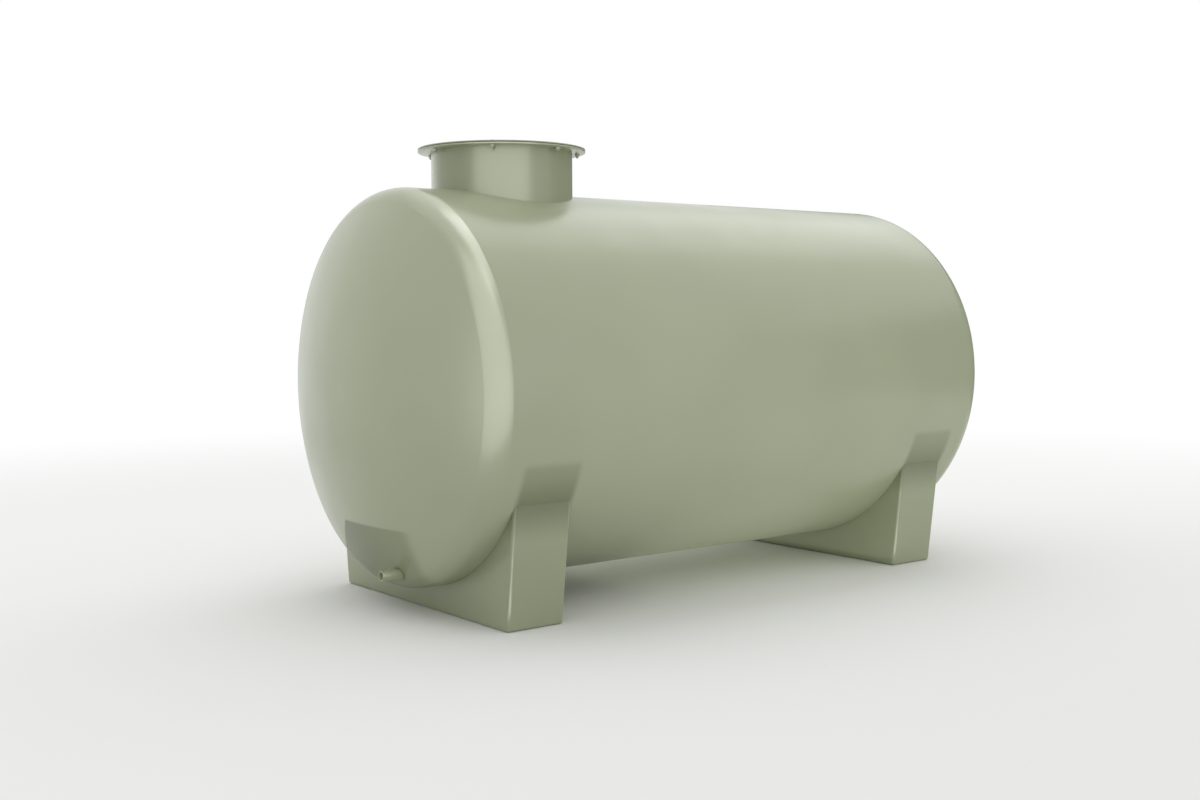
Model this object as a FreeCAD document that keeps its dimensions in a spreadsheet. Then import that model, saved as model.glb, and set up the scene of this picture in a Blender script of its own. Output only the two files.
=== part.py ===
import FreeCAD
import Part
import math
import os
import Sketcher

# Horizontal storage tank of glass-fibre reinforced plastic, lying on two moulded saddles.
# X runs along the tank with the front end towards -X, Z is up, and the origin is on the
# ground under the middle of the tank. Right and left are as seen from the front end.

SIZES = [
    ("shell_radius", 800, "outer radius of the cylindrical shell"),
    ("shell_wall", 8, "laminate thickness of shell and ends"),
    ("shell_length", 2600, "straight length between the two tangent lines"),
    ("crown_radius", 1600, "outer crown radius of a dished end"),
    ("knuckle_radius", 104, "outer knuckle radius of a dished end"),
    ("belly_height", 95, "height of the shell's underside above the ground"),
    ("saddle_centre", 1093, "distance of each saddle's middle from the tank's middle"),
    ("saddle_length", 262, "length of a saddle along the tank"),
    ("saddle_base_width", 1258, "width of a saddle across the tank, at the ground"),
    ("saddle_draft", 6.8, "degrees by which the saddle's sides lean outwards"),
    ("saddle_wall", 10, "wall thickness of a saddle moulding"),
    ("saddle_edge_radius", 14, "rounding of a saddle's upright and ground edges"),
    ("bond_gap", 0.3, "thickness of the resin bond between two mouldings"),
    ("neck_centre", 804, "distance of the manhole's axis from the tank's middle"),
    ("neck_radius", 295, "outer radius of the manhole neck"),
    ("neck_wall", 8, "wall thickness of the manhole neck"),
    ("neck_rise", 168, "height of the neck above the top of the shell"),
    ("flange_radius", 350, "outer radius of the manhole flange and cover"),
    ("flange_thickness", 7, "thickness of the manhole flange"),
    ("gasket_thickness", 2, "thickness of the gasket under the cover"),
    ("gasket_inset", 4, "distance of the gasket's edge from the flange's rim"),
    ("cover_thickness", 5, "thickness of the manhole cover"),
    ("dome_radius", 280, "radius at which the cover's dome meets its flat rim"),
    ("dome_rise", 22, "height of the cover's dome above its flat rim"),
    ("bolt_circle_radius", 320, "radius of the circle of cover bolts"),
    ("bolt_hole_radius", 6, "radius of a clearance hole for a cover bolt"),
    ("bolt_count", 7, "number of cover bolts"),
    ("bolt_angle", 178, "degrees from the rearward direction to the first bolt"),
    ("stub_radius", 20, "outer radius of the drain stub"),
    ("stub_wall", 3.5, "wall thickness of the drain stub"),
    ("stub_side", 140, "distance of the drain stub to the right of the middle"),
    ("stub_rise", 81, "height of the drain stub's axis above the shell's underside"),
    ("stub_reach", 85, "length of drain stub standing out of the front end"),
    ("stub_inside", 20, "length of drain stub from the end's outer face inwards"),
]

# The round wall is made of three rings, each of six panels, named in the order in which
# they follow the top panel clockwise round the shell.
RINGS = ["front", "middle", "rear"]
PANELS = ["top", "upper_right", "lower_right", "bottom", "lower_left", "upper_left"]
MANHOLE_RING = "front"
MANHOLE_PANEL = "top"

INNER_RADIUS = "(Sizes.shell_radius - Sizes.shell_wall)"
NECK_BORE = "(Sizes.neck_radius - Sizes.neck_wall)"
AXIS_HEIGHT = "(Sizes.belly_height + Sizes.shell_radius)"
FLANGE_UNDERSIDE = f"({AXIS_HEIGHT} + Sizes.shell_radius + Sizes.neck_rise)"
STUB_DROP = "(Sizes.shell_radius - Sizes.stub_rise)"

doc = FreeCAD.newDocument("StorageTank")
sheet = doc.addObject("Spreadsheet::Sheet", "Sizes")
for row, (alias, value, meaning) in enumerate(SIZES, start=1):
    sheet.set(f"A{row}", meaning)
    sheet.set(f"B{row}", str(value))
    sheet.setAlias(f"B{row}", alias)
doc.recompute()

subparts = []


def size(alias):
    return float(sheet.get(alias))


def new_body(label, x="0", y="0", z="0", turn_axis=FreeCAD.Vector(0, 0, 1), turn=0):
    """A sub-part whose own origin lies at the given place, turned about an axis through it."""
    body = doc.addObject("PartDesign::Body", label)
    body.Label = label
    body.Placement = FreeCAD.Placement(FreeCAD.Vector(), FreeCAD.Rotation(turn_axis, turn))
    for axis, place in (("x", x), ("y", y), ("z", z)):
        body.setExpression(f"Placement.Base.{axis}", place)
    subparts.append(body)
    return body


def new_sketch(body, plane, name):
    sketch = body.newObject("Sketcher::SketchObject", name)
    support = [part for part in body.Origin.OriginFeatures if part.Role == plane][0]
    sketch.AttachmentSupport = [(support, "")]
    sketch.MapMode = "FlatFace"
    return sketch


def drive(sketch, expression, *constraint):
    """Add a dimension to a sketch and bind it to the sheet."""
    index = sketch.addConstraint(Sketcher.Constraint(*constraint))
    sketch.setExpression(f"Constraints[{index}]", expression)


def relate(sketch, *constraint):
    sketch.addConstraint(Sketcher.Constraint(*constraint))


def point(x, y):
    return FreeCAD.Vector(x, y, 0)


def line(sketch, start, end):
    return sketch.addGeometry(Part.LineSegment(start, end))


def arc(sketch, centre, radius, start_angle, end_angle):
    circle = Part.Circle(centre, FreeCAD.Vector(0, 0, 1), radius)
    return sketch.addGeometry(Part.ArcOfCircle(circle, start_angle, end_angle))


def centred_circle(sketch, radius_expression):
    """A circle about the sketch's origin."""
    circle = Part.Circle(point(0, 0), FreeCAD.Vector(0, 0, 1), size("shell_radius"))
    index = sketch.addGeometry(circle)
    relate(sketch, "Coincident", index, 3, -1, 1)
    drive(sketch, radius_expression, "Radius", index, size("shell_radius"))


def pad(body, sketch, length, side="One side"):
    feature = body.newObject("PartDesign::Pad", "Pad")
    feature.Profile = sketch
    feature.SideType = side
    feature.setExpression("Length", length)
    return feature


def pocket_through(body, sketch, side="One side", reverse=False):
    """Cut a sketch right through, behind its plane or in front of it when reversed."""
    feature = body.newObject("PartDesign::Pocket", "Pocket")
    feature.Profile = sketch
    feature.Type = "ThroughAll"
    feature.SideType = side
    feature.Reversed = reverse
    return feature


def revolve(body, sketch, axis):
    feature = body.newObject("PartDesign::Revolution", "Revolution")
    feature.Profile = sketch
    feature.ReferenceAxis = (sketch, [axis])
    feature.Angle = 360
    return feature


def ring_plate(label, height, outer_radius, thickness):
    """A flat ring on the manhole's axis, open over the bore of the neck."""
    body = new_body(label, x="-Sizes.neck_centre", z=height)
    outline = new_sketch(body, "XY_Plane", "Outline")
    centred_circle(outline, outer_radius)
    centred_circle(outline, NECK_BORE)
    pad(body, outline, thickness)
    return body


def bolt_holes(body):
    """The circle of bolt holes that flange, gasket and cover share."""
    doc.recompute()
    sketch = new_sketch(body, "XY_Plane", "BoltHole")
    radius = size("bolt_circle_radius")
    angle = math.radians(size("bolt_angle"))
    centre = point(radius * math.cos(angle), radius * math.sin(angle))
    spoke = line(sketch, point(0, 0), centre)
    sketch.setConstruction(spoke, True)
    hole = sketch.addGeometry(Part.Circle(centre, FreeCAD.Vector(0, 0, 1), size("bolt_hole_radius")))
    relate(sketch, "Coincident", spoke, 1, -1, 1)
    relate(sketch, "Coincident", hole, 3, spoke, 2)
    drive(sketch, "Sizes.bolt_circle_radius", "Distance", spoke, radius)
    drive(sketch, "Sizes.bolt_angle", "Angle", spoke, angle)
    drive(sketch, "Sizes.bolt_hole_radius", "Radius", hole, size("bolt_hole_radius"))
    cut = pocket_through(body, sketch, reverse=True)
    pattern = body.newObject("PartDesign::PolarPattern", "BoltCircle")
    pattern.Originals = [cut]
    pattern.Axis = (sketch, ["N_Axis"])
    pattern.Angle = 360
    pattern.setExpression("Occurrences", "Sizes.bolt_count")
    body.Tip = pattern


# Cylindrical shell: a panel is an arc of laminate, padded for one ring's length.


def shell_panel(ring, panel):
    ring_length = f"(Sizes.shell_length / {len(RINGS)})"
    span = 2 * math.pi / len(PANELS)
    body = new_body(
        f"shell_{ring}_{panel}",
        x=f"{RINGS.index(ring)} * {ring_length} - Sizes.shell_length / 2",
        z=AXIS_HEIGHT,
        turn_axis=FreeCAD.Vector(1, 0, 0),
        turn=math.degrees(span) * PANELS.index(panel),
    )
    section = new_sketch(body, "YZ_Plane", "Section")
    outer_radius = size("shell_radius")
    inner_radius = outer_radius - size("shell_wall")
    start = (math.pi - span) / 2
    end = (math.pi + span) / 2
    outer = arc(section, point(0, 0), outer_radius, start, end)
    inner = arc(section, point(0, 0), inner_radius, start, end)
    relate(section, "Coincident", outer, 3, -1, 1)
    relate(section, "Coincident", inner, 3, -1, 1)
    drive(section, "Sizes.shell_radius", "Radius", outer, outer_radius)
    drive(section, INNER_RADIUS, "Radius", inner, inner_radius)
    for arc_end, angle in ((1, start), (2, end)):
        direction = point(math.cos(angle), math.sin(angle))
        side = line(section, direction * inner_radius, direction * outer_radius)
        relate(section, "Coincident", side, 1, inner, arc_end)
        relate(section, "Coincident", side, 2, outer, arc_end)
        relate(section, "Angle", side, angle)
        relate(section, "PointOnObject", -1, 1, side)
    pad(body, section, ring_length)
    return body


def cut_manhole(panel_body):
    """The round opening through which the neck enters the shell."""
    opening = new_sketch(panel_body, "XY_Plane", "Manhole")
    place = size("shell_length") / 2 - size("neck_centre")
    radius = size("neck_radius") + size("bond_gap")
    circle = opening.addGeometry(Part.Circle(point(place, 0), FreeCAD.Vector(0, 0, 1), radius))
    relate(opening, "PointOnObject", circle, 3, -1)
    drive(opening, "Sizes.shell_length / 2 - Sizes.neck_centre", "DistanceX", -1, 1, circle, 3, place)
    drive(opening, "Sizes.neck_radius + Sizes.bond_gap", "Radius", circle, radius)
    pocket_through(panel_body, opening, reverse=True)


for ring in RINGS:
    for panel in PANELS:
        panel_body = shell_panel(ring, panel)
        if (ring, panel) == (MANHOLE_RING, MANHOLE_PANEL):
            cut_manhole(panel_body)

# Dished ends: a crown arc runs tangent into a knuckle arc, which runs tangent into the shell.


def dished_end(label, x, turn):
    body = new_body(label, x=x, z=AXIS_HEIGHT, turn=turn)
    profile = new_sketch(body, "XZ_Plane", "Profile")
    wall = size("shell_wall")
    crown_radius = size("crown_radius")
    knuckle_radius = size("knuckle_radius")
    knuckle_height = size("shell_radius") - knuckle_radius
    crown_back = math.sqrt((crown_radius - knuckle_radius) ** 2 - knuckle_height**2)
    joint_angle = math.atan2(knuckle_height, crown_back)
    crown_centre = point(-crown_back, 0)
    knuckle_centre = point(0, knuckle_height)

    outer_crown = arc(profile, crown_centre, crown_radius, 0, joint_angle)
    outer_knuckle = arc(profile, knuckle_centre, knuckle_radius, joint_angle, math.pi / 2)
    inner_crown = arc(profile, crown_centre, crown_radius - wall, 0, joint_angle)
    inner_knuckle = arc(profile, knuckle_centre, knuckle_radius - wall, joint_angle, math.pi / 2)
    for crown, knuckle in ((outer_crown, outer_knuckle), (inner_crown, inner_knuckle)):
        relate(profile, "Tangent", crown, 2, knuckle, 1)
        relate(profile, "PointOnObject", crown, 1, -1)
        relate(profile, "PointOnObject", knuckle, 2, -2)
    relate(profile, "PointOnObject", outer_crown, 3, -1)
    relate(profile, "PointOnObject", outer_knuckle, 3, -2)
    relate(profile, "Coincident", inner_crown, 3, outer_crown, 3)
    relate(profile, "PointOnObject", inner_knuckle, 3, -2)
    drive(profile, "Sizes.crown_radius", "Radius", outer_crown, crown_radius)
    drive(profile, "Sizes.knuckle_radius", "Radius", outer_knuckle, knuckle_radius)
    drive(profile, "Sizes.crown_radius - Sizes.shell_wall", "Radius", inner_crown, crown_radius - wall)
    drive(profile, "Sizes.shell_radius", "DistanceY", -1, 1, outer_knuckle, 2, size("shell_radius"))
    drive(profile, "Sizes.shell_wall", "DistanceY", inner_knuckle, 2, outer_knuckle, 2, wall)

    rim = line(profile, point(0, size("shell_radius") - wall), point(0, size("shell_radius")))
    relate(profile, "Coincident", rim, 1, inner_knuckle, 2)
    relate(profile, "Coincident", rim, 2, outer_knuckle, 2)
    apex = crown_radius - crown_back
    pole = line(profile, point(apex - wall, 0), point(apex, 0))
    relate(profile, "Coincident", pole, 1, inner_crown, 1)
    relate(profile, "Coincident", pole, 2, outer_crown, 1)
    revolve(body, profile, "H_Axis")
    return body


dished_end("rear_end", "Sizes.shell_length / 2", 0)
front_end = dished_end("front_end", "-Sizes.shell_length / 2", 180)

# Drain stub: a short pipe bonded through the front end, low down and right of the middle.

drain_opening = new_sketch(front_end, "YZ_Plane", "DrainOpening")
stub_drop = size("shell_radius") - size("stub_rise")
opening_radius = size("stub_radius") + size("bond_gap")
opening_centre = point(size("stub_side"), -stub_drop)
opening_circle = Part.Circle(opening_centre, FreeCAD.Vector(0, 0, 1), opening_radius)
drain_circle = drain_opening.addGeometry(opening_circle)
drive(drain_opening, "Sizes.stub_side", "DistanceX", -1, 1, drain_circle, 3, size("stub_side"))
drive(drain_opening, STUB_DROP, "DistanceY", drain_circle, 3, -1, 1, stub_drop)
drive(drain_opening, "Sizes.stub_radius + Sizes.bond_gap", "Radius", drain_circle, opening_radius)
pocket_through(front_end, drain_opening, reverse=True)

# The stub's axis meets the end either on its crown or, further out, on its knuckle.
stub_off_axis = f"sqrt(Sizes.stub_side^2 + {STUB_DROP}^2)"
knuckle_off_axis = "(Sizes.shell_radius - Sizes.knuckle_radius)"
crown_set_back = f"sqrt((Sizes.crown_radius - Sizes.knuckle_radius)^2 - {knuckle_off_axis}^2)"
crown_edge = f"({knuckle_off_axis} * Sizes.crown_radius / (Sizes.crown_radius - Sizes.knuckle_radius))"
on_crown = f"(sqrt(Sizes.crown_radius^2 - {stub_off_axis}^2) - {crown_set_back})"
on_knuckle = f"sqrt(Sizes.knuckle_radius^2 - ({stub_off_axis} - {knuckle_off_axis})^2)"
end_face = f"({stub_off_axis} < {crown_edge} ? {on_crown} : {on_knuckle})"
drain_stub = new_body(
    "drain_stub",
    x=f"-Sizes.shell_length / 2 - {end_face} - Sizes.stub_reach",
    y="-Sizes.stub_side",
    z=f"{AXIS_HEIGHT} - {STUB_DROP}",
)
stub_section = new_sketch(drain_stub, "YZ_Plane", "Section")
centred_circle(stub_section, "Sizes.stub_radius")
centred_circle(stub_section, "Sizes.stub_radius - Sizes.stub_wall")
pad(drain_stub, stub_section, "Sizes.stub_reach + Sizes.stub_inside")

# Saddles: hollow mouldings with a closed base, leaning sides and a cradle that fits the shell.


def saddle(label, x):
    body = new_body(label, x=x)
    profile = new_sketch(body, "YZ_Plane", "Profile")
    half_base = size("saddle_base_width") / 2
    axis_height = size("belly_height") + size("shell_radius")
    cradle_radius = size("shell_radius") + size("bond_gap")
    lean = math.tan(math.radians(size("saddle_draft")))
    # The side meets the cradle where (half_base + lean z)^2 + (z - axis_height)^2 = cradle_radius^2.
    square = 1 + lean**2
    linear = axis_height - lean * half_base
    constant = half_base**2 + axis_height**2 - cradle_radius**2
    tip_height = (linear - math.sqrt(linear**2 - square * constant)) / square
    tip = half_base + lean * tip_height
    tip_drop = math.atan2(tip_height - axis_height, tip)
    base = line(profile, point(-half_base, 0), point(half_base, 0))
    right = line(profile, point(half_base, 0), point(tip, tip_height))
    cradle = arc(profile, point(0, axis_height), cradle_radius, math.pi - tip_drop, 2 * math.pi + tip_drop)
    left = line(profile, point(-tip, tip_height), point(-half_base, 0))
    relate(profile, "Coincident", base, 2, right, 1)
    relate(profile, "Coincident", right, 2, cradle, 2)
    relate(profile, "Coincident", cradle, 1, left, 1)
    relate(profile, "Coincident", left, 2, base, 1)
    relate(profile, "Horizontal", base)
    relate(profile, "Symmetric", base, 1, base, 2, -1, 1)
    relate(profile, "PointOnObject", cradle, 3, -2)
    relate(profile, "Equal", left, right)
    drive(profile, "Sizes.saddle_base_width", "DistanceX", base, 1, base, 2, 2 * half_base)
    drive(profile, AXIS_HEIGHT, "DistanceY", -1, 1, cradle, 3, axis_height)
    drive(profile, "Sizes.shell_radius + Sizes.bond_gap", "Radius", cradle, cradle_radius)
    drive(profile, "90 - Sizes.saddle_draft", "Angle", right, math.atan2(1, lean))
    block = pad(body, profile, "Sizes.saddle_length", side="Symmetric")
    doc.recompute()

    ground_tolerance = size("bond_gap")
    rounded = []
    for number, edge in enumerate(block.Shape.Edges, start=1):
        if edge.BoundBox.ZMin < ground_tolerance:
            rounded.append(f"Edge{number}")
    rounding = body.newObject("PartDesign::Fillet", "EdgeRounding")
    rounding.Base = (block, rounded)
    rounding.setExpression("Radius", "Sizes.saddle_edge_radius")
    doc.recompute()

    hollow = new_sketch(body, "YZ_Plane", "Hollow")
    wall = size("saddle_wall")
    slant = math.radians(size("saddle_draft"))
    half_floor = half_base + wall * (lean - 1 / math.cos(slant))
    half_top = half_floor + lean * (axis_height - wall)
    corners = [
        point(-half_floor, wall),
        point(half_floor, wall),
        point(half_top, axis_height),
        point(-half_top, axis_height),
    ]
    sides = [line(hollow, corners[i], corners[(i + 1) % len(corners)]) for i in range(len(corners))]
    for index, side in enumerate(sides):
        relate(hollow, "Coincident", side, 2, sides[(index + 1) % len(sides)], 1)
    floor, right_wall, top, left_wall = sides
    relate(hollow, "Symmetric", floor, 1, floor, 2, -2)
    relate(hollow, "Symmetric", top, 1, top, 2, -2)
    floor_width = "Sizes.saddle_base_width"
    floor_width += " + 2 * Sizes.saddle_wall * (tan(Sizes.saddle_draft) - 1 / cos(Sizes.saddle_draft))"
    drive(hollow, floor_width, "DistanceX", floor, 1, floor, 2, 2 * half_floor)
    drive(hollow, "Sizes.saddle_wall", "DistanceY", -1, 1, floor, 1, wall)
    drive(hollow, AXIS_HEIGHT, "DistanceY", -1, 1, top, 1, axis_height)
    drive(hollow, "90 - Sizes.saddle_draft", "Angle", right_wall, math.atan2(1, lean))
    cavity = body.newObject("PartDesign::Pocket", "Cavity")
    cavity.Profile = hollow
    cavity.SideType = "Symmetric"
    cavity.setExpression("Length", "Sizes.saddle_length - 2 * Sizes.saddle_wall")


saddle("front_saddle", "-Sizes.saddle_centre")
saddle("rear_saddle", "Sizes.saddle_centre")

# Manhole neck: a tube whose foot is trimmed to the inside of the shell.

neck = new_body("manhole_neck", x="-Sizes.neck_centre", z=AXIS_HEIGHT)
neck_section = new_sketch(neck, "XY_Plane", "Section")
centred_circle(neck_section, "Sizes.neck_radius")
centred_circle(neck_section, NECK_BORE)
pad(neck, neck_section, "Sizes.shell_radius + Sizes.neck_rise")
doc.recompute()
shell_inside = new_sketch(neck, "YZ_Plane", "ShellInside")
centred_circle(shell_inside, INNER_RADIUS)
pocket_through(neck, shell_inside, side="Symmetric")

# Manhole flange, gasket and cover, stacked on the neck and bolted together.

flange = ring_plate("manhole_flange", FLANGE_UNDERSIDE, "Sizes.flange_radius", "Sizes.flange_thickness")
bolt_holes(flange)

gasket_underside = f"{FLANGE_UNDERSIDE} + Sizes.flange_thickness"
gasket_radius = "Sizes.flange_radius - Sizes.gasket_inset"
gasket = ring_plate("cover_gasket", gasket_underside, gasket_radius, "Sizes.gasket_thickness")
bolt_holes(gasket)

cover_underside = f"{gasket_underside} + Sizes.gasket_thickness"
cover = new_body("manhole_cover", x="-Sizes.neck_centre", z=cover_underside)
cover_profile = new_sketch(cover, "XZ_Plane", "Profile")
cover_wall = size("cover_thickness")
dome_radius = size("dome_radius")
dome_rise = size("dome_rise")
cover_radius = size("flange_radius")
lower_radius = (dome_radius**2 + dome_rise**2) / (2 * dome_rise)
dome_centre = point(0, dome_rise - lower_radius)
upper_dome_radius = math.sqrt(dome_radius**2 + 2 * cover_wall * dome_rise)
lower_end = math.atan2(-dome_centre.y, dome_radius)
upper_end = math.atan2(cover_wall - dome_centre.y, upper_dome_radius)
lower_dome = arc(cover_profile, dome_centre, lower_radius, lower_end, math.pi / 2)
upper_dome = arc(cover_profile, dome_centre, lower_radius + cover_wall, upper_end, math.pi / 2)
rim_under = line(cover_profile, point(dome_radius, 0), point(cover_radius, 0))
rim_edge = line(cover_profile, point(cover_radius, 0), point(cover_radius, cover_wall))
rim_top = line(cover_profile, point(cover_radius, cover_wall), point(upper_dome_radius, cover_wall))
pole = line(cover_profile, point(0, dome_rise + cover_wall), point(0, dome_rise))
relate(cover_profile, "Coincident", lower_dome, 1, rim_under, 1)
relate(cover_profile, "Coincident", rim_under, 2, rim_edge, 1)
relate(cover_profile, "Coincident", rim_edge, 2, rim_top, 1)
relate(cover_profile, "Coincident", rim_top, 2, upper_dome, 1)
relate(cover_profile, "Coincident", upper_dome, 2, pole, 1)
relate(cover_profile, "Coincident", pole, 2, lower_dome, 2)
relate(cover_profile, "PointOnObject", lower_dome, 3, -2)
relate(cover_profile, "Coincident", upper_dome, 3, lower_dome, 3)
relate(cover_profile, "PointOnObject", rim_under, 1, -1)
relate(cover_profile, "Horizontal", rim_under)
relate(cover_profile, "Vertical", rim_edge)
relate(cover_profile, "Horizontal", rim_top)
relate(cover_profile, "PointOnObject", lower_dome, 2, -2)
relate(cover_profile, "PointOnObject", upper_dome, 2, -2)
drive(cover_profile, "Sizes.dome_radius", "DistanceX", -1, 1, rim_under, 1, dome_radius)
drive(cover_profile, "Sizes.flange_radius", "DistanceX", -1, 1, rim_under, 2, cover_radius)
drive(cover_profile, "Sizes.cover_thickness", "DistanceY", rim_edge, 1, rim_edge, 2, cover_wall)
drive(cover_profile, "Sizes.dome_rise", "DistanceY", -1, 1, lower_dome, 2, dome_rise)
drive(cover_profile, "Sizes.cover_thickness", "DistanceY", pole, 2, pole, 1, cover_wall)
revolve(cover, cover_profile, "V_Axis")
bolt_holes(cover)

doc.recompute()
for entry in doc.Objects:
    if "Invalid" in entry.State or "Error" in entry.State:
        raise RuntimeError(f"{entry.Label} did not compute: {entry.State}")
for body in subparts:
    if body.Shape.isNull() or not body.Shape.isValid() or len(body.Shape.Solids) != 1:
        raise RuntimeError(f"{body.Label} is not one valid solid")

os.makedirs("parts", exist_ok=True)
for body in subparts:
    body.Shape.exportStep(f"parts/{body.Label}.step")
    bounds = body.Shape.BoundBox
    litres = body.Shape.Volume / 1e6
    print(f"{body.Label}: {litres:.3f} l, x {bounds.XMin:.1f}..{bounds.XMax:.1f},"
          f" y {bounds.YMin:.1f}..{bounds.YMax:.1f}, z {bounds.ZMin:.1f}..{bounds.ZMax:.1f}")
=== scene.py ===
import math

import bpy
from mathutils import Matrix, Vector


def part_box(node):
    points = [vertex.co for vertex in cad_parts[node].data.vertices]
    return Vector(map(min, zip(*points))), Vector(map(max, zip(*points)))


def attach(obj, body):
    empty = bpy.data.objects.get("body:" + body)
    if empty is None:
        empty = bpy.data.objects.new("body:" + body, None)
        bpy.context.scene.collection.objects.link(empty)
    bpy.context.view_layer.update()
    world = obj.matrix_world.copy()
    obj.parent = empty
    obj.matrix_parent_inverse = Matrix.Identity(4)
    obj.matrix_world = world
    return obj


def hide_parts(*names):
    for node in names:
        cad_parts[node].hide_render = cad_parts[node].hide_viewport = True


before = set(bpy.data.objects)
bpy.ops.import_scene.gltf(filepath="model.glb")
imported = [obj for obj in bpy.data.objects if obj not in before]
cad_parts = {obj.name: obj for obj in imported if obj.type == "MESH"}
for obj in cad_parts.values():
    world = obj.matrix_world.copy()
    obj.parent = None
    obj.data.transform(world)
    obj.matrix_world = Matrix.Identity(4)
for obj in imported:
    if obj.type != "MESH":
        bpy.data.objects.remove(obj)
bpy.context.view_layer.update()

# Round wall of the tank: one seamless laminate of glass fibre and polyester, wound and laid up on a
# mould and finished in a sage green gelcoat. The manhole is cut through its top; above each saddle
# a strip of the wall's colour is painted darker, as painted shade where the saddle meets the wall.

wall_panels = [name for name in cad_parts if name.startswith("shell_")]
front_low, front_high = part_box("front_end")
rear_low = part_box("rear_end")[0]
neck_low, neck_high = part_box("manhole_neck")
saddle_low, saddle_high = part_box("rear_saddle")

tank_radius = (front_high.z - front_low.z) / 2
axis_height = (front_high.z + front_low.z) / 2
wall_length = rear_low.x - front_high.x
laminate_thickness = 0.008
around_tank = 240
wall_rings = 16
along_tank = (0, math.pi / 2, 0)
neck_radius = (neck_high.x - neck_low.x) / 2
neck_centre = (neck_high.x + neck_low.x) / 2
neck_lap = 0.004
cut_low = axis_height + 0.6
cut_height = 0.3
around_cut = 128


def new_ring(name, radius, place, turn=(0, 0, 0), corners=around_tank):
    """A ring of edges with its place in its mesh, open in edit mode with all of it selected."""
    bpy.ops.object.select_all(action="DESELECT")
    bpy.ops.mesh.primitive_circle_add(vertices=corners, radius=radius, location=place, rotation=turn)
    piece = bpy.context.object
    piece.name = name
    piece.data.name = name
    bpy.ops.object.transform_apply(location=True, rotation=True, scale=True)
    bpy.ops.object.mode_set(mode="EDIT")
    bpy.ops.mesh.select_all(action="SELECT")
    return piece


def new_disc(name, radius, place, corners):
    """A level ring that is filled with one face."""
    disc = new_ring(name, radius, place, corners=corners)
    bpy.ops.mesh.edge_face_add()
    return disc


def pull(offset):
    bpy.ops.mesh.extrude_region_move(TRANSFORM_OT_translate={"value": offset})


def close_piece():
    """Turn the faces of the piece in edit mode outwards and go back to object mode."""
    bpy.ops.mesh.select_all(action="SELECT")
    bpy.ops.mesh.normals_make_consistent(inside=False)
    bpy.ops.object.mode_set(mode="OBJECT")


def apply_modifiers(piece):
    bpy.ops.object.select_all(action="DESELECT")
    bpy.context.view_layer.objects.active = piece
    piece.select_set(True)
    for modifier in list(piece.modifiers):
        bpy.ops.object.modifier_apply(modifier=modifier.name)


def cut(piece, tool, operation="DIFFERENCE"):
    """Cut a piece with another object, which is then removed."""
    cutting = piece.modifiers.new("cut", "BOOLEAN")
    cutting.operation = operation
    cutting.solver = "EXACT"
    cutting.object = tool
    apply_modifiers(piece)
    bpy.data.objects.remove(tool)


def smooth(degrees):
    bpy.ops.object.shade_smooth_by_angle(angle=math.radians(degrees))


tank_wall = new_ring("tank_wall", tank_radius, (front_high.x, 0, axis_height), along_tank)
for _ in range(wall_rings):
    pull((wall_length / wall_rings, 0, 0))
close_piece()
laminate = tank_wall.modifiers.new("laminate", "SOLIDIFY")
laminate.thickness = laminate_thickness
laminate.offset = -1
laminate.use_even_offset = True
apply_modifiers(tank_wall)

manhole_cut = new_disc("manhole_cut", neck_radius - neck_lap, (neck_centre, 0, cut_low), around_cut)
pull((0, 0, cut_height))
close_piece()
cut(tank_wall, manhole_cut)
smooth(30)

# The gelcoat's own look: a faint cloudy colour, an uneven gloss, the slow wave of a laminate that
# shrank on its fibres and a fine orange peel. Its Darker input paints shade into the colour, which
# there also turns more olive and less polished.
sage_green = (0.335, 0.37, 0.243, 1)
cloud_scale, cloud_detail, cloud_depth = 2.3, 1.5, 0.12
olive_shift = 0.6
rubbing_scale, rubbing_low, rubbing_high = 4, 0.3, 0.7
full_polish, rubbed_off = 0.55, 0.3
glossiest = 0.28
wave_scale = 4.5
peel_scale, peel_height = 260, 0.03
relief_depth = 0.001

gelcoat = bpy.data.node_groups.new("gelcoat", "ShaderNodeTree")
for side, socket_name, socket_type in (
    ("INPUT", "Colour", "NodeSocketColor"),
    ("INPUT", "Dullest", "NodeSocketFloat"),
    ("INPUT", "Wave", "NodeSocketFloat"),
    ("INPUT", "Darker", "NodeSocketFloat"),
    ("INPUT", "Dulling", "NodeSocketFloat"),
    ("OUTPUT", "Colour", "NodeSocketColor"),
    ("OUTPUT", "Roughness", "NodeSocketFloat"),
    ("OUTPUT", "Polish", "NodeSocketFloat"),
    ("OUTPUT", "Normal", "NodeSocketVector"),
):
    gelcoat.interface.new_socket(name=socket_name, in_out=side, socket_type=socket_type)
parts, join = gelcoat.nodes, gelcoat.links.new
given = parts.new("NodeGroupInput").outputs
result = parts.new("NodeGroupOutput").inputs
where = parts.new("ShaderNodeTexCoord").outputs["Object"]


def add_noise(scale, detail=1):
    noise = parts.new("ShaderNodeTexNoise")
    noise.inputs["Scale"].default_value = scale
    noise.inputs["Detail"].default_value = detail
    join(where, noise.inputs["Vector"])
    return noise.outputs["Fac"]


def add_math(operation, first, second):
    step = parts.new("ShaderNodeMath")
    step.operation = operation
    for socket, value in zip(step.inputs, (first, second)):
        if isinstance(value, (int, float)):
            socket.default_value = value
        else:
            join(value, socket)
    return step.outputs["Value"]


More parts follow.
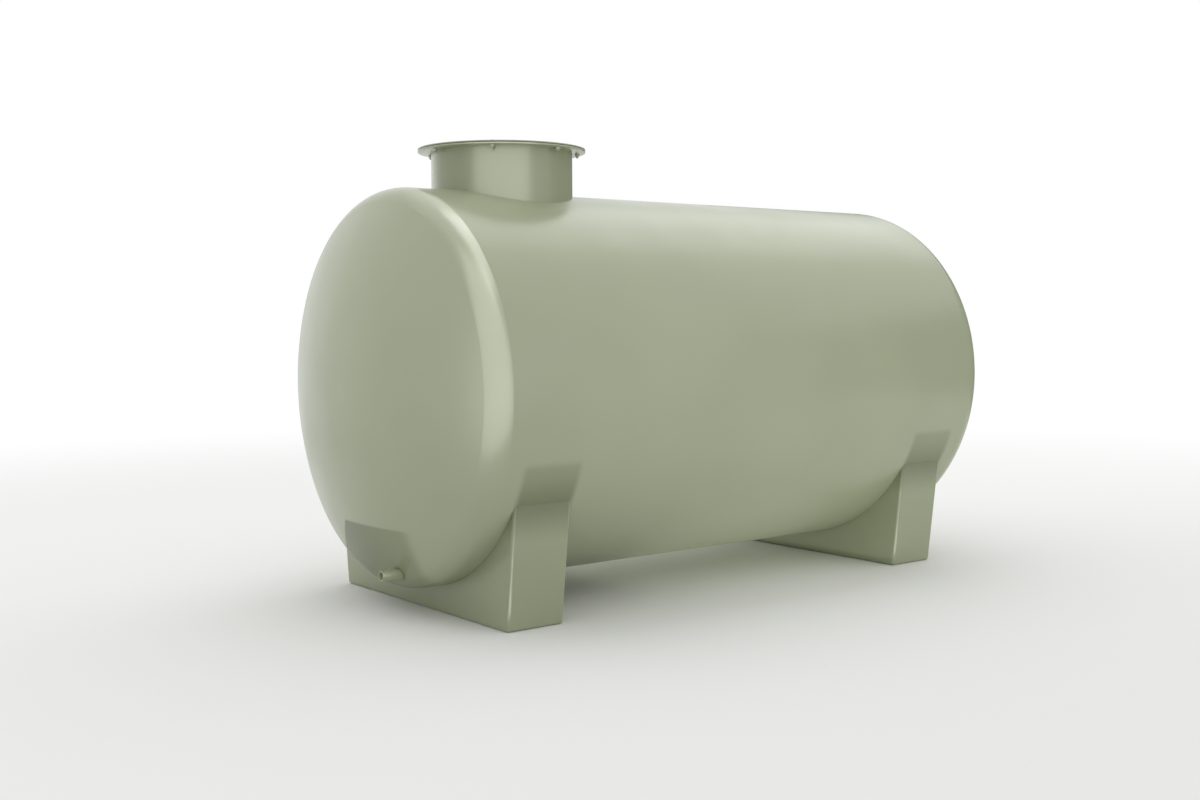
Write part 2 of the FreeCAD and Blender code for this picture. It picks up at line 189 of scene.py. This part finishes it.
cloud = add_math("SUBTRACT", add_noise(cloud_scale, cloud_detail), 0.5)
cloud = add_math("MULTIPLY", cloud, cloud_depth)
lightness = add_math("SUBTRACT", 1, given["Darker"])
lightness = add_math("MULTIPLY", add_math("ADD", cloud, 1), lightness)
saturation = add_math("ADD", add_math("MULTIPLY", given["Darker"], olive_shift), 1)
tone = parts.new("ShaderNodeHueSaturation")
join(given["Colour"], tone.inputs["Color"])
join(lightness, tone.inputs["Value"])
join(saturation, tone.inputs["Saturation"])
join(tone.outputs["Color"], result["Colour"])

rubbing = add_noise(rubbing_scale)
rubbed_polish = add_math("SUBTRACT", full_polish, add_math("MULTIPLY", rubbing, rubbed_off))
polish = add_math("SUBTRACT", 1, add_math("MULTIPLY", given["Darker"], given["Dulling"]))
polish = add_math("MULTIPLY", polish, rubbed_polish)
join(add_math("MAXIMUM", polish, 0), result["Polish"])

gloss = parts.new("ShaderNodeMapRange")
gloss.inputs["From Min"].default_value = rubbing_low
gloss.inputs["From Max"].default_value = rubbing_high
gloss.inputs["To Min"].default_value = glossiest
join(given["Dullest"], gloss.inputs["To Max"])
join(rubbing, gloss.inputs["Value"])
join(gloss.outputs["Result"], result["Roughness"])

wave = add_math("MULTIPLY", add_noise(wave_scale), given["Wave"])
peel = add_math("MULTIPLY", add_noise(peel_scale), peel_height)
relief = parts.new("ShaderNodeBump")
relief.inputs["Distance"].default_value = relief_depth
join(add_math("ADD", wave, peel), relief.inputs["Height"])
join(relief.outputs["Normal"], result["Normal"])


def gelcoat_finish(name, dullest, wave, darker=0, dulling=1.7):
    """A material of coloured gelcoat, under the clear gloss that a polished mould leaves on it."""
    finish = bpy.data.materials.new(name)
    finish.use_nodes = True
    surface = finish.node_tree.nodes.new("ShaderNodeGroup")
    surface.node_tree = gelcoat
    surface.name = "gelcoat"
    surface.inputs["Colour"].default_value = sage_green
    surface.inputs["Dullest"].default_value = dullest
    surface.inputs["Wave"].default_value = wave
    surface.inputs["Darker"].default_value = darker
    surface.inputs["Dulling"].default_value = dulling
    skin = finish.node_tree.nodes["Principled BSDF"]
    link = finish.node_tree.links.new
    link(surface.outputs["Colour"], skin.inputs["Base Color"])
    link(surface.outputs["Roughness"], skin.inputs["Roughness"])
    link(surface.outputs["Polish"], skin.inputs["Coat Weight"])
    link(surface.outputs["Normal"], skin.inputs["Normal"])
    skin.inputs["IOR"].default_value = 1.5
    skin.inputs["Coat Roughness"].default_value = 0.24
    skin.inputs["Coat IOR"].default_value = 1.5
    return finish


def read_place(finish):
    """The object's own X, Y and Z as values in a material."""
    place = finish.node_tree.nodes.new("ShaderNodeSeparateXYZ")
    where = finish.node_tree.nodes.new("ShaderNodeTexCoord")
    finish.node_tree.links.new(where.outputs["Object"], place.inputs["Vector"])
    return [place.outputs[axis] for axis in "XYZ"]


def combine(finish, operation, first, second):
    step = finish.node_tree.nodes.new("ShaderNodeMath")
    step.operation = operation
    finish.node_tree.links.new(first, step.inputs[0])
    if isinstance(second, float):
        step.inputs[1].default_value = second
    else:
        finish.node_tree.links.new(second, step.inputs[1])
    return step.outputs["Value"]


def grade(finish, value, start, end, at_start, at_end):
    """A value that runs from one level to another between two places."""
    step = finish.node_tree.nodes.new("ShaderNodeMapRange")
    step.interpolation_type = "SMOOTHSTEP"
    finish.node_tree.links.new(value, step.inputs["Value"])
    step.inputs["From Min"].default_value = start
    step.inputs["From Max"].default_value = end
    step.inputs["To Min"].default_value = at_start
    step.inputs["To Max"].default_value = at_end
    return step.outputs["Result"]


# Lead a mask of painted shade into the gelcoat's Darker input.
def darken(finish, amount):
    finish.node_tree.links.new(amount, finish.node_tree.nodes["gelcoat"].inputs["Darker"])


# The strip above each saddle is painted shade: the colour is darkest just below the saddle's top and
# fades upwards.
saddle_middle = (saddle_low.x + saddle_high.x) / 2
saddle_half = (saddle_high.x - saddle_low.x) / 2
strip_side = saddle_half - 0.02, saddle_half + 0.015
strip_low, strip_top = saddle_high.z - 0.04, saddle_high.z + 0.15
strip_fade = 0.02
shade_low, shade_top = 0.48, 0.2

wall_gelcoat = gelcoat_finish("wall_gelcoat", 0.32, 0.6)
along, _, up = read_place(wall_gelcoat)
from_saddle = combine(wall_gelcoat, "ABSOLUTE", along, 0.0)
from_saddle = combine(wall_gelcoat, "SUBTRACT", from_saddle, saddle_middle)
from_saddle = combine(wall_gelcoat, "ABSOLUTE", from_saddle, 0.0)
beside = grade(wall_gelcoat, from_saddle, *strip_side, 1, 0)
below = grade(wall_gelcoat, up, strip_top - strip_fade, strip_top + strip_fade, 1, 0)
strip = grade(wall_gelcoat, up, strip_low, strip_top, shade_low, shade_top)
for limit in (beside, below):
    strip = combine(wall_gelcoat, "MULTIPLY", strip, limit)
darken(wall_gelcoat, strip)
tank_wall.data.materials.append(wall_gelcoat)
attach(tank_wall, "root")
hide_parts(*wall_panels)

# Dished ends: two mouldings of the same laminate, bonded to the round wall edge to edge under one
# gelcoat. On the front one a leaning square around the drain is painted darker as painted shade,
# and a ring of painted shadow lies round the drain's root.

stub_low, stub_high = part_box("drain_stub")
stub_across = (stub_low.y + stub_high.y) / 2
stub_up = (stub_low.z + stub_high.z) / 2
stub_radius = (stub_high.z - stub_low.z) / 2
square_lean = 1.06
square_left = 0.541, 0.551
square_right = -0.33, -0.25
square_top = 0.358, 0.368
square_width = -0.3, 0.2
square_shades = 0.27, 0.52
root_shadow_edge = stub_radius + 0.004, stub_radius + 0.016
root_shadow_strength = 0.24
front_side = -0.1, 0.1

end_gelcoat = gelcoat_finish("end_gelcoat", 0.32, 0.6)
along, across, up = read_place(end_gelcoat)
# A leaning square of painted shade around the drain, on the front end only.
leaning = combine(end_gelcoat, "MULTIPLY", up, square_lean)
leaning = combine(end_gelcoat, "ADD", across, leaning)
square = grade(end_gelcoat, across, *square_width, *square_shades)
for limit in (
    grade(end_gelcoat, leaning, *square_left, 1, 0),
    grade(end_gelcoat, across, *square_right, 0, 1),
    grade(end_gelcoat, up, *square_top, 1, 0),
):
    square = combine(end_gelcoat, "MULTIPLY", square, limit)
# A ring of painted shadow round the drain's root.
beside_stub = combine(end_gelcoat, "SUBTRACT", across, stub_across)
beside_stub = combine(end_gelcoat, "POWER", beside_stub, 2.0)
above_stub = combine(end_gelcoat, "SUBTRACT", up, stub_up)
above_stub = combine(end_gelcoat, "POWER", above_stub, 2.0)
from_stub = combine(end_gelcoat, "ADD", beside_stub, above_stub)
from_stub = combine(end_gelcoat, "POWER", from_stub, 0.5)
root_shadow = grade(end_gelcoat, from_stub, *root_shadow_edge, root_shadow_strength, 0)
in_front = grade(end_gelcoat, along, *front_side, 1, 0)
painted_end_shade = combine(end_gelcoat, "ADD", square, root_shadow)
darken(end_gelcoat, combine(end_gelcoat, "MULTIPLY", painted_end_shade, in_front))
for dished_end in ("front_end", "rear_end"):
    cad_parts[dished_end].material_slots[0].material = end_gelcoat

# Saddles: two hollow glass-fibre mouldings with a rounded foot, bonded under the round wall.
# They are moulded in the body's colour, a little less glossy; painted shade darkens them, most at the
# top.

saddle_names = ("front_saddle", "rear_saddle")
saddle_shade_low, saddle_shade_top = saddle_high.z - 0.16, saddle_high.z + 0.01
foot_shade, under_wall_shade = 0.11, 0.5

saddle_gelcoat = gelcoat_finish("saddle_gelcoat", 0.34, 0.4, dulling=0.3)
up = read_place(saddle_gelcoat)[2]
# Painted shade: a little darker all over, and darker towards the top under the bulge of the wall.
darken(saddle_gelcoat, grade(saddle_gelcoat, up, saddle_shade_low, saddle_shade_top, foot_shade, under_wall_shade))
for saddle in saddle_names:
    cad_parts[saddle].material_slots[0].material = saddle_gelcoat

# Drain stub: a short pipe of glass-fibre laminate, bonded through the front end low down.
# Its open mouth is rounded by the gelcoat that was brushed over the cut.

stub_wall = 0.0035
stub_length = stub_high.x - stub_low.x
stub_place = (stub_low.x, stub_across, stub_up)
around_stub = 64
mouth_rounding = 0.0012


def round_edges(piece, width, segments):
    """Round the sharp edges of a piece, after its other modifiers."""
    rounding = piece.modifiers.new("rounding", "BEVEL")
    rounding.width = width
    rounding.segments = segments
    rounding.angle_limit = math.radians(60)
    apply_modifiers(piece)


drain_pipe = new_ring("drain_pipe", stub_radius - stub_wall / 2, stub_place, along_tank, around_stub)
pull((stub_length, 0, 0))
close_piece()
pipe_wall = drain_pipe.modifiers.new("wall", "SOLIDIFY")
pipe_wall.thickness = stub_wall
pipe_wall.offset = 0
round_edges(drain_pipe, mouth_rounding, 3)
smooth(40)
drain_pipe.data.materials.append(gelcoat_finish("stub_gelcoat", 0.34, 0.2))
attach(drain_pipe, "root")
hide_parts("drain_stub")

# Manhole neck: a tube of glass-fibre laminate, laid up by hand in the body's colour, with the flange's
# shade painted into it as a darker colour. It is let into the top of the body and bonded from inside.

# Painted shade: the whole neck is darkened as if it lay in the shade of the flange.
shaded_neck_gelcoat = gelcoat_finish("shaded_neck_gelcoat", 0.34, 0.4, darker=0.17, dulling=0.9)
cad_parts["manhole_neck"].material_slots[0].material = shaded_neck_gelcoat

# Manhole flange, gasket and cover: a flat ring moulded on the neck, a sheet rubber gasket and a
# domed lid of the same laminate, with their edges rounded by the gelcoat. Seven bolts go through them.

flange_low, flange_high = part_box("manhole_flange")
cover_low, cover_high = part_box("manhole_cover")
flange_radius = (flange_high.y - flange_low.y) / 2
flange_bore = 0.287
edge_rounding = 0.0016
edge_middle = edge_rounding * 0.29
bolt_circle = 0.320
bolt_count = 7
first_bolt = math.radians(178)
bolt_angles = [first_bolt + 2 * math.pi * number / bolt_count for number in range(bolt_count)]
hole_radius = 0.006
around_hole = 24
drill_reach = 0.01
cover_wall = 0.005
rim_top = cover_low.z + cover_wall
dome_radius = 0.280
dome_rise = 0.022
dome_rings = 12
around_manhole = 160


def pull_wider(offset, stretch, centre):
    """Extrude the selected ring by an offset and stretch the new ring about an upright axis."""
    pull(offset)
    bpy.ops.transform.resize(value=(stretch, stretch, 1), center_override=centre)


def draw_round(name, outline):
    """A piece turned about the manhole's axis, from an outline of (radius, height)."""
    radius, height = outline[0]
    piece = new_ring(name, radius, (neck_centre, 0, height), corners=around_manhole)
    for new_radius, new_height in outline[1:]:
        if new_radius == 0:
            pull((0, 0, new_height - height))
            bpy.ops.mesh.merge(type="CENTER")
            break
        pull_wider((0, 0, new_height - height), new_radius / radius, (neck_centre, 0, new_height))
        radius, height = new_radius, new_height
    bpy.ops.mesh.select_all(action="SELECT")
    bpy.ops.mesh.remove_doubles(threshold=0.00001)
    close_piece()
    return piece


def rim_outline(low, high):
    """The outer rim of the flange or the cover, from its underside to its top."""
    return [
        (flange_radius - edge_rounding, low),
        (flange_radius - edge_middle, low + edge_middle),
        (flange_radius, low + edge_rounding),
        (flange_radius, high - edge_rounding),
        (flange_radius - edge_middle, high - edge_middle),
        (flange_radius - edge_rounding, high),
    ]


def drill_bolt_holes(piece, low, high):
    for angle in bolt_angles:
        beside, across = bolt_circle * math.cos(angle), bolt_circle * math.sin(angle)
        place = (neck_centre + beside, across, low - drill_reach)
        drill = new_disc("drill", hole_radius, place, around_hole)
        pull((0, 0, high - low + 2 * drill_reach))
        close_piece()
        cut(piece, drill)


flange = draw_round(
    "flange_ring",
    [
        (flange_bore, flange_low.z),
        *rim_outline(flange_low.z, flange_high.z),
        (flange_bore, flange_high.z),
        (flange_bore, flange_low.z),
    ],
)
drill_bolt_holes(flange, flange_low.z, flange_high.z)
smooth(50)
flange_gelcoat = gelcoat_finish("flange_gelcoat", 0.34, 0.2)
flange.data.materials.append(flange_gelcoat)
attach(flange, "root")
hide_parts("manhole_flange")

under_sphere = (dome_radius**2 + dome_rise**2) / (2 * dome_rise)
over_sphere = under_sphere + cover_wall
dome_centre = cover_low.z + dome_rise - under_sphere
under_edge = math.asin(dome_radius / under_sphere)
over_edge = math.acos((rim_top - dome_centre) / over_sphere)


def dome_outline(sphere, edge):
    """One side of the dome, from near its middle out to its edge."""
    angles = [edge * step / dome_rings for step in range(1, dome_rings + 1)]
    return [(sphere * math.sin(angle), dome_centre + sphere * math.cos(angle)) for angle in angles]


under_dome = dome_outline(under_sphere, under_edge)
over_dome = dome_outline(over_sphere, over_edge)
cover = draw_round(
    "cover_lid",
    [*under_dome, *rim_outline(cover_low.z, rim_top), *reversed(over_dome), (0, cover_high.z)],
)
bpy.ops.object.mode_set(mode="EDIT")
bpy.ops.mesh.select_all(action="DESELECT")
bpy.ops.mesh.select_non_manifold()
bpy.ops.mesh.edge_face_add()
close_piece()
drill_bolt_holes(cover, cover_low.z, rim_top)
smooth(50)
cover.data.materials.append(flange_gelcoat)
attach(cover, "root")
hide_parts("manhole_cover")


def mottled_finish(name, scale, detail, dark, light):
    """A material whose colour clouds between two tones, each given as (level of the noise, colour)."""
    finish = bpy.data.materials.new(name)
    finish.use_nodes = True
    nodes, link = finish.node_tree.nodes, finish.node_tree.links.new
    mottle = nodes.new("ShaderNodeTexNoise")
    mottle.name = "mottle"
    mottle.inputs["Scale"].default_value = scale
    mottle.inputs["Detail"].default_value = detail
    link(nodes.new("ShaderNodeTexCoord").outputs["Object"], mottle.inputs["Vector"])
    tones = nodes.new("ShaderNodeValToRGB")
    for stop, (level, colour) in zip(tones.color_ramp.elements, (dark, light)):
        stop.position = level
        stop.color = colour
    link(mottle.outputs["Fac"], tones.inputs["Fac"])
    link(tones.outputs["Color"], nodes["Principled BSDF"].inputs["Base Color"])
    return finish


soot_black = (0.018, 0.018, 0.017, 1)
bloom_grey = (0.04, 0.04, 0.037, 1)
gasket_rubber = mottled_finish("gasket_rubber", 30, 5, (0.35, soot_black), (0.7, bloom_grey))
gasket_rubber.node_tree.nodes["Principled BSDF"].inputs["Roughness"].default_value = 0.75
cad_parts["cover_gasket"].material_slots[0].material = gasket_rubber

# Cover bolts: seven zinc-plated mushroom-head bolts of 10 mm thread through cover, gasket and flange,
# each with a washer and a hexagon nut under the flange.

head_radius = 0.0123
head_height = 0.0054
head_rim = 0.001
head_rise = head_height - head_rim
head_rings = 5
across_flats = 0.016
corner_radius = across_flats / math.sqrt(3)
chamfer_radius = across_flats * 0.475
chamfer_height = (corner_radius - chamfer_radius) * math.tan(math.radians(30))
blank_radius = corner_radius * 1.002
nut_height = 0.0084
washer_radius = 0.010
washer_thickness = 0.002
washer_rounding = 0.0003
nut_seat = flange_low.z - washer_thickness
nut_low = nut_seat - nut_height
thread_radius = 0.005
thread_pitch = 0.0015
thread_core = 0.86
threads_shown = 3
shank_top = rim_top + 0.0005
shank_tip, tip_taper = 0.0008, 0.8
around_bolt = 36
around_thread = 24
bolt_place = (neck_centre + bolt_circle, 0, 0)


def new_bolt_disc(name, radius, height, corners=around_bolt):
    return new_disc(name, radius, (bolt_place[0], bolt_place[1], height), corners)


head = new_bolt_disc("cover_bolt_1", head_radius, rim_top)
pull((0, 0, head_rim))
head_sphere = (head_radius**2 + head_rise**2) / (2 * head_rise)
head_edge = math.asin(head_radius / head_sphere)
for ring in range(head_rings, 1, -1):
    outer, inner = head_edge * ring / head_rings, head_edge * (ring - 1) / head_rings
    rise = head_sphere * (math.cos(inner) - math.cos(outer))
    pull_wider((0, 0, rise), math.sin(inner) / math.sin(outer), bolt_place)
close_piece()

nut = new_bolt_disc("nut", corner_radius, nut_low, corners=6)
pull((0, 0, nut_height))
close_piece()
blank = new_bolt_disc("blank", chamfer_radius, nut_low)
pull_wider((0, 0, chamfer_height), blank_radius / chamfer_radius, bolt_place)
pull((0, 0, nut_height - 2 * chamfer_height))
pull_wider((0, 0, chamfer_height), chamfer_radius / blank_radius, bolt_place)
close_piece()
cut(nut, blank, "INTERSECT")

washer = new_bolt_disc("washer", washer_radius, nut_seat)
pull((0, 0, washer_thickness))
close_piece()
round_edges(washer, washer_rounding, 2)

shank = new_bolt_disc("shank", thread_radius, shank_top, corners=around_thread)
pull((0, 0, nut_low - shank_top))
for _ in range(threads_shown):
    pull_wider((0, 0, -thread_pitch / 2), thread_core, bolt_place)
    pull_wider((0, 0, -thread_pitch / 2), 1 / thread_core, bolt_place)
pull_wider((0, 0, -shank_tip), tip_taper, bolt_place)
close_piece()

bpy.ops.object.select_all(action="DESELECT")
for part in (nut, washer, shank, head):
    part.select_set(True)
bpy.context.view_layer.objects.active = head
bpy.ops.object.join()
smooth(30)

zinc_grey = (0.56, 0.57, 0.50, 1)
zinc_bright = (0.66, 0.67, 0.60, 1)
zinc_plate = mottled_finish("zinc_plate", 240, 4, (0.3, zinc_grey), (0.75, zinc_bright))
zinc_nodes, zinc_link = zinc_plate.node_tree.nodes, zinc_plate.node_tree.links.new
zinc = zinc_nodes["Principled BSDF"]
zinc_gloss = zinc_nodes.new("ShaderNodeMapRange")
zinc_gloss.inputs["To Min"].default_value = 0.52
zinc_gloss.inputs["To Max"].default_value = 0.68
zinc_link(zinc_nodes["mottle"].outputs["Fac"], zinc_gloss.inputs["Value"])
zinc_link(zinc_gloss.outputs["Result"], zinc.inputs["Roughness"])
zinc.inputs["Metallic"].default_value = 1
head.data.materials.append(zinc_plate)

bolts = [head]
for number in range(1, bolt_count):
    bolt = head.copy()
    bolt.data = head.data.copy()
    bolt.name = f"cover_bolt_{number + 1}"
    bolt.data.name = bolt.name
    bpy.context.scene.collection.objects.link(bolt)
    bolts.append(bolt)
to_axis = Matrix.Translation((-neck_centre, 0, 0))
from_axis = Matrix.Translation((neck_centre, 0, 0))
for bolt, angle in zip(bolts, bolt_angles):
    bolt.data.transform(from_axis @ Matrix.Rotation(angle, 4, "Z") @ to_axis)
    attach(bolt, "root")

# Floor and surroundings: a wide pale studio floor in matt paint, which runs out into a white
# background. The sky is white to the eye and lights the tank a little more from its rear end.

floor_radius = 40
floor_white = (0.87, 0.87, 0.86, 1)
fade_start, fade_end = 2.5, 9
sky_front, sky_rear = 0.74, 0.96


def seen_by(finish, *rays):
    """1 for rays of the kinds named, 0 for all others."""
    path = finish.node_tree.nodes.new("ShaderNodeLightPath")
    seen = path.outputs[rays[0]]
    for ray in rays[1:]:
        seen = combine(finish, "MAXIMUM", seen, path.outputs[ray])
    return seen


def blend(finish, share, first, second, output):
    """Show one shader or, by its share, another."""
    mix = finish.node_tree.nodes.new("ShaderNodeMixShader")
    link = finish.node_tree.links.new
    link(share, mix.inputs["Fac"])
    link(first, mix.inputs[1])
    link(second, mix.inputs[2])
    link(mix.outputs["Shader"], finish.node_tree.nodes[output].inputs["Surface"])


bpy.ops.object.select_all(action="DESELECT")
bpy.ops.mesh.primitive_circle_add(vertices=64, radius=floor_radius, fill_type="NGON", location=(0, 0, 0))
floor = bpy.context.object
floor.name = "studio_floor"
floor_paint = bpy.data.materials.new("floor_paint")
floor_paint.use_nodes = True
paint_nodes, paint_link = floor_paint.node_tree.nodes, floor_paint.node_tree.links.new
paint = paint_nodes["Principled BSDF"]
paint.inputs["Base Color"].default_value = floor_white
paint.inputs["Roughness"].default_value = 0.9
paint.inputs["Specular IOR Level"].default_value = 0
reach = paint_nodes.new("ShaderNodeVectorMath")
reach.operation = "LENGTH"
paint_link(paint_nodes.new("ShaderNodeTexCoord").outputs["Object"], reach.inputs[0])
fade = grade(floor_paint, reach.outputs["Value"], fade_start, fade_end, 0, 1)
fade = combine(floor_paint, "MULTIPLY", fade, seen_by(floor_paint, "Is Camera Ray", "Is Glossy Ray"))
paper_white = paint_nodes.new("ShaderNodeEmission")
blend(floor_paint, fade, paint.outputs["BSDF"], paper_white.outputs["Emission"], "Material Output")
floor.data.materials.append(floor_paint)

surroundings = bpy.data.worlds.new("surroundings")
bpy.context.scene.world = surroundings
surroundings.use_nodes = True
sky_nodes, sky_link = surroundings.node_tree.nodes, surroundings.node_tree.links.new
sky_light = sky_nodes["Background"]
sky_light.inputs["Color"].default_value = (1, 1, 1, 1)
sky_side = sky_nodes.new("ShaderNodeSeparateXYZ")
sky_link(sky_nodes.new("ShaderNodeTexCoord").outputs["Generated"], sky_side.inputs["Vector"])
sky_level = sky_nodes.new("ShaderNodeMapRange")
sky_level.inputs["From Min"].default_value = -1
sky_level.inputs["To Min"].default_value = sky_front
sky_level.inputs["To Max"].default_value = sky_rear
sky_link(sky_side.outputs["X"], sky_level.inputs["Value"])
sky_link(sky_level.outputs["Result"], sky_light.inputs["Strength"])
sky_white = sky_nodes.new("ShaderNodeBackground")
sky_white.inputs["Color"].default_value = (1, 1, 1, 1)
sky_white.inputs["Strength"].default_value = 1
clear_sky = seen_by(surroundings, "Is Camera Ray", "Is Glossy Ray", "Is Transmission Ray")
blend(
    surroundings,
    clear_sky,
    sky_light.outputs["Background"],
    sky_white.outputs["Background"],
    "World Output",
)

# Studio lights: soft panels overhead, beside the tank and under it, and panels that show only in the
# gloss of named pieces: at the front corner and above it, behind the neck, and on the floor along
# the saddles. A low grey flag past the rear end keeps the reflections on that side dark.

strip_offset = Vector((-0.38, -0.56, 0))
strip_height = 0.01
strip_turn = (math.pi, 0, math.radians(56))
flag_place = (5, 0, 1.6)
flag_width, flag_height = 10, 3.2
flag_grey = (0.2, 0.2, 0.2, 1)


def softbox(name, place, turn, width, height, radiance):
    bpy.ops.object.light_add(type="AREA", location=place)
    lamp = bpy.context.object
    lamp.name = name
    lamp.data.shape = "RECTANGLE"
    lamp.data.size = width
    lamp.data.size_y = height
    lamp.data.energy = radiance * math.pi * width * height
    lamp.rotation_euler = turn
    lamp.visible_camera = False
    return lamp


def aimed_softbox(name, place, aim, width, height, radiance):
    turn = (Vector(aim) - Vector(place)).to_track_quat("-Z", "Y").to_euler()
    return softbox(name, place, turn, width, height, radiance)


def light_group(name, pieces):
    """A collection of pieces that some lamps light alone."""
    group = bpy.data.collections.new(name)
    for piece in pieces:
        group.objects.link(piece)
    return group


def light_only(lamp, group):
    """Let a lamp light a group of pieces, without a reflection in their gloss."""
    lamp.visible_glossy = False
    lamp.light_linking.receiver_collection = group


def glint(lamp, group):
    """Let a lamp show in the gloss of a group of pieces and light nothing else."""
    lamp.visible_diffuse = False
    lamp.light_linking.receiver_collection = group


front_end, rear_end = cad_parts["front_end"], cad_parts["rear_end"]
manhole_neck, cover_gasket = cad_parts["manhole_neck"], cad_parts["cover_gasket"]
saddles = light_group("saddles", [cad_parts[saddle] for saddle in saddle_names])
front_pieces = light_group("front_pieces", [front_end, manhole_neck, flange, drain_pipe])
neck_only = light_group("neck_only", [manhole_neck])
all_pieces = light_group("all_pieces", [tank_wall, rear_end, cover_gasket, cover, *bolts])
all_pieces.children.link(saddles)
all_pieces.children.link(front_pieces)

aimed_softbox("overhead_panel", (1.5, 1.5, 5.6), (1.5, 1.51, 0), 12, 4.2, 0.7)
light_only(aimed_softbox("side_panel", (0.45, -3.4, 1.5), (0.45, 0, 1.1), 2.4, 2.4, 0.6), all_pieces)
light_only(aimed_softbox("low_panel", (0.3, -0.3, 0.02), (0.3, -0.29, 1), 1.3, 1.6, 0.38), all_pieces)
corner_place, corner_aim = (-2.02, -1.745, 2.52), (-1.35, -0.75, 2.52)
glint(aimed_softbox("corner_panel", corner_place, corner_aim, 4, 5, 3.1), front_pieces)
upper_place, upper_aim = (-0.4, -1.25, 5.02), (-0.4, -1.24, 0)
glint(aimed_softbox("upper_panel", upper_place, upper_aim, 2.4, 4.3, 3.7), front_pieces)
rim_place, rim_aim = (neck_centre - 0.25, 3, 2.15), (neck_centre, 0, 1.75)
glint(aimed_softbox("rim_panel", rim_place, rim_aim, 1.9, 1.5, 0.42), neck_only)
for saddle in saddle_names:
    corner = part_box(saddle)[0]
    strip_place = Vector((corner.x, corner.y, strip_height)) + strip_offset
    glint(softbox(f"{saddle}_strip", strip_place, strip_turn, 1.2, 0.3, 4.3), saddles)

bpy.ops.object.select_all(action="DESELECT")
bpy.ops.mesh.primitive_plane_add(size=1, location=flag_place, rotation=(0, -math.pi / 2, 0))
flag = bpy.context.object
flag.name = "grey_flag"
bpy.ops.transform.resize(value=(1, flag_width, flag_height))
bpy.ops.object.transform_apply(location=True, rotation=True, scale=True)
flag_cloth = bpy.data.materials.new("flag_cloth")
flag_cloth.use_nodes = True
cloth = flag_cloth.node_tree.nodes["Principled BSDF"]
cloth.inputs["Base Color"].default_value = flag_grey
cloth.inputs["Roughness"].default_value = 1
flag.data.materials.append(flag_cloth)
flag.visible_camera = False
flag.visible_diffuse = False
flag.visible_shadow = False

# Camera: a normal lens at chest height, off the front corner of the tank and tipped down a little,
# so that the front end, the long right side and the underside of the manhole's flange all show.

bpy.ops.object.camera_add(
    location=(-4.0871, -4.8738, 1.1927),
    rotation=(math.radians(86.413), math.radians(0.287), math.radians(-37.948)),
)
camera = bpy.context.object
camera.name = "camera"
camera.data.lens = 41.57
camera.data.sensor_width = 36
bpy.context.scene.camera = camera
bpy.context.scene.view_settings.view_transform = "Standard"
